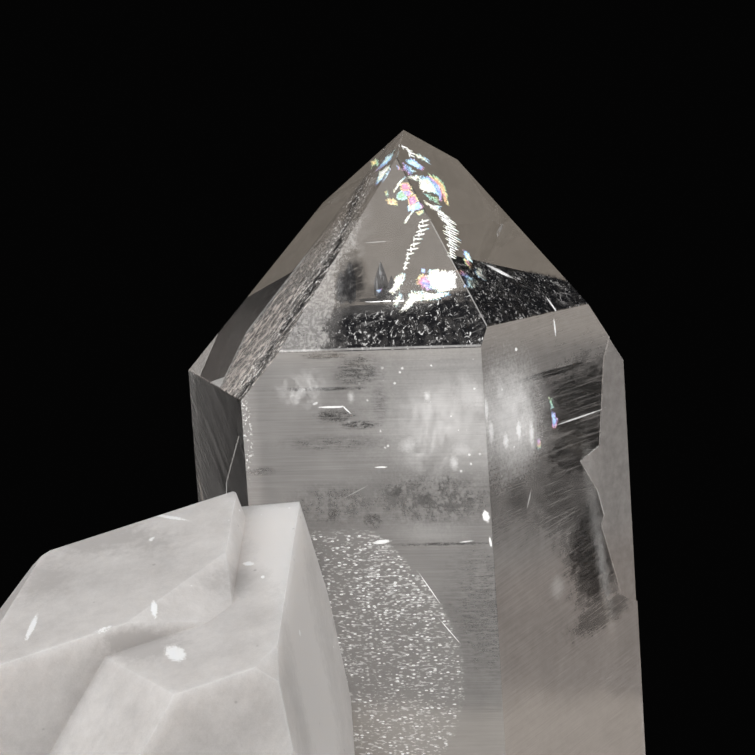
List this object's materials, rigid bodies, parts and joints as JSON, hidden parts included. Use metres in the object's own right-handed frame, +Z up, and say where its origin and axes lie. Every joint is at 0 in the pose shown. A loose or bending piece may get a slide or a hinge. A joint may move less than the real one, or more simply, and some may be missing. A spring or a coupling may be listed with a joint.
{
  "type": "self-healed quartz cluster",
  "caption": "Clear quartz crystal with a milky crystal grown against its foot, on a flat healed base; a free-standing natural display piece.",
  "frame": {"origin": "on the flat foot, under the middle of the cluster's outline", "axes": "+Z up along the clear crystal, -Y the side that the picture shows, +X to the right of it"},
  "size_m": [0.1077, 0.1071, 0.115],
  "materials": {
    "clear_quartz": "clear, polished faces with fine growth lines",
    "milky_quartz": "milky, satin faces"
  },
  "bodies": {
    "root": {"quartz_cluster": "clear_quartz"}
  },
  "joints": []
}
